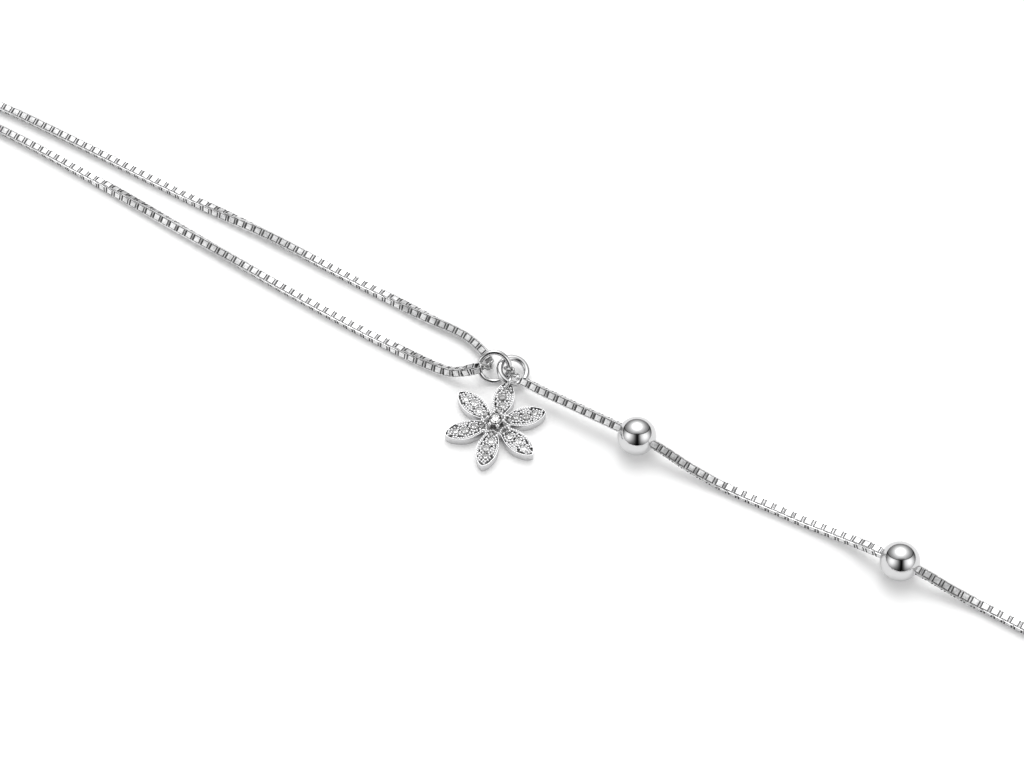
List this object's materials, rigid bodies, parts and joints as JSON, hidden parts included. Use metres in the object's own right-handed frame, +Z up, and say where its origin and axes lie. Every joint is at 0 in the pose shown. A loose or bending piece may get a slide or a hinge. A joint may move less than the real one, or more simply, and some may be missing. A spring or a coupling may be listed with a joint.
{
  "type": "crystal ankle bracelet",
  "caption": "White metal box chain bracelet laid as a closed loop, with a stone-set six-petal flower charm hung between a folded chain and a chain of round beads, and a plain barrel clasp.",
  "frame": {"origin": "middle of the flower charm's flat back, on the surface that the bracelet lies on", "axes": "+X to the right along the loop's long side, +Y away from the viewer, +Z up out of the surface"},
  "size_m": [0.0958, 0.0704, 0.003],
  "materials": {
    "set_flower": "satin white metal walls, polished rim, clear cut stones",
    "polished_silver": "mirror-polished rhodium-plated silver",
    "chain_silver": "polished rhodium-plated silver box links"
  },
  "bodies": {
    "root": {"flower_charm": "set_flower", "chain_ring": "polished_silver", "charm_ring": "polished_silver", "folded_chain_outer": "chain_silver", "folded_chain_inner": "chain_silver", "beaded_chain": "chain_silver", "bead_1": "polished_silver", "bead_2": "polished_silver", "bead_3": "polished_silver", "bead_4": "polished_silver", "bead_5": "polished_silver", "barrel_clasp": "polished_silver"}
  },
  "joints": []
}
